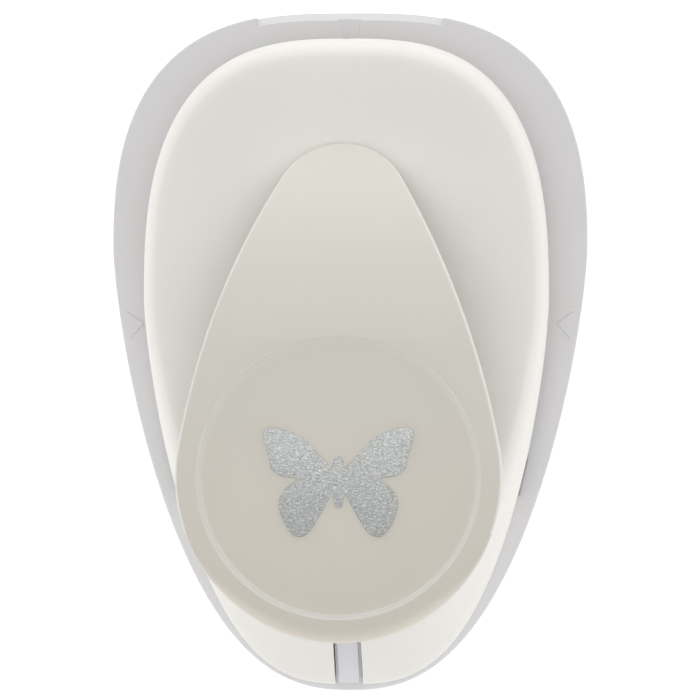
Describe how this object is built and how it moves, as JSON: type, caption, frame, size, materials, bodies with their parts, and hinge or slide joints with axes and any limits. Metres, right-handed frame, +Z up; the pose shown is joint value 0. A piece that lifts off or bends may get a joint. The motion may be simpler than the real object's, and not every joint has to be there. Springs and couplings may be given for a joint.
{
  "type": "craft punch",
  "caption": "Egg-shaped lever paper punch: a thumb pad swings down and drives a butterfly-shaped punch through paper into a die in its base.",
  "frame": {"origin": "centre of the footprint, on the surface the punch stands on", "axes": "+X across; +Y towards the wide end, where the paper goes in and the lever is hinged; +Z up"},
  "size_m": [0.077, 0.1099, 0.05],
  "materials": {
    "white_plastic": "satin, fine moulded texture",
    "natural_nylon": "natural nylon",
    "steel": "ground and stamped steel",
    "die_cast": "as cast",
    "spring_steel": "drawn wire and sheet",
    "zinc_screw": "zinc plated",
    "silver_foil": "embossed foil"
  },
  "bodies": {
    "punch_body": {"base": "white_plastic", "die_plate": "steel", "throat_spacer": "steel", "guide_plate": "steel", "throat_cover": "white_plastic", "upper_housing": "white_plastic", "pivot_bracket": "steel", "pivot_pin": "steel", "retaining_clip_left": "spring_steel", "retaining_clip_right": "spring_steel", "pivot_washer_left": "natural_nylon", "pivot_washer_right": "natural_nylon", "guide_post_left": "steel", "guide_post_right": "steel", "return_spring_left": "spring_steel", "return_spring_right": "spring_steel", "bracket_rivet_1": "steel", "bracket_rivet_2": "steel", "base_screw_1": "zinc_screw", "base_screw_2": "zinc_screw", "base_screw_3": "zinc_screw", "base_screw_4": "zinc_screw", "die_screw_1": "zinc_screw", "die_screw_2": "zinc_screw", "guide_screw_1": "zinc_screw", "guide_screw_2": "zinc_screw", "cover_screw_1": "zinc_screw", "cover_screw_2": "zinc_screw"},
    "lever": {"lever_cover": "white_plastic", "lever_frame": "steel", "press_pin": "steel", "lever_screw_1": "zinc_screw", "lever_screw_2": "zinc_screw", "butterfly_emblem": "silver_foil"},
    "plunger": {"punch": "steel", "punch_holder": "die_cast", "press_plate": "steel", "punch_screw_1": "zinc_screw", "punch_screw_2": "zinc_screw", "punch_screw_3": "zinc_screw", "punch_screw_4": "zinc_screw", "press_plate_screw_1": "zinc_screw", "press_plate_screw_2": "zinc_screw", "post_bushing_left": "natural_nylon", "post_bushing_right": "natural_nylon"},
    "lock": {"lock_slider": "white_plastic"}
  },
  "joints": [
    {"name": "lever_press", "type": "hinge", "parent": "punch_body", "child": "lever", "pos_m": [0, 0.025, 0.023], "axis": [1, 0, 0], "range_deg": [0, 14.5], "stiffness_Nm_per_rad": 2.4, "springref_deg": -14.32},
    {"name": "plunger_slide", "type": "slide", "parent": "punch_body", "child": "plunger", "axis": [0, 0, -1], "range_m": [0, 0.00535], "deforming": ["return_spring_left", "return_spring_right"]},
    {"name": "lock_slide", "type": "slide", "parent": "punch_body", "child": "lock", "axis": [0, 0.6791, 0.7341], "range_m": [0, 0.004]}
  ],
  "couplings": [
    {"joint": "plunger_slide", "follows": "lever_press", "m_per_rad": 0.021024}
  ]
}
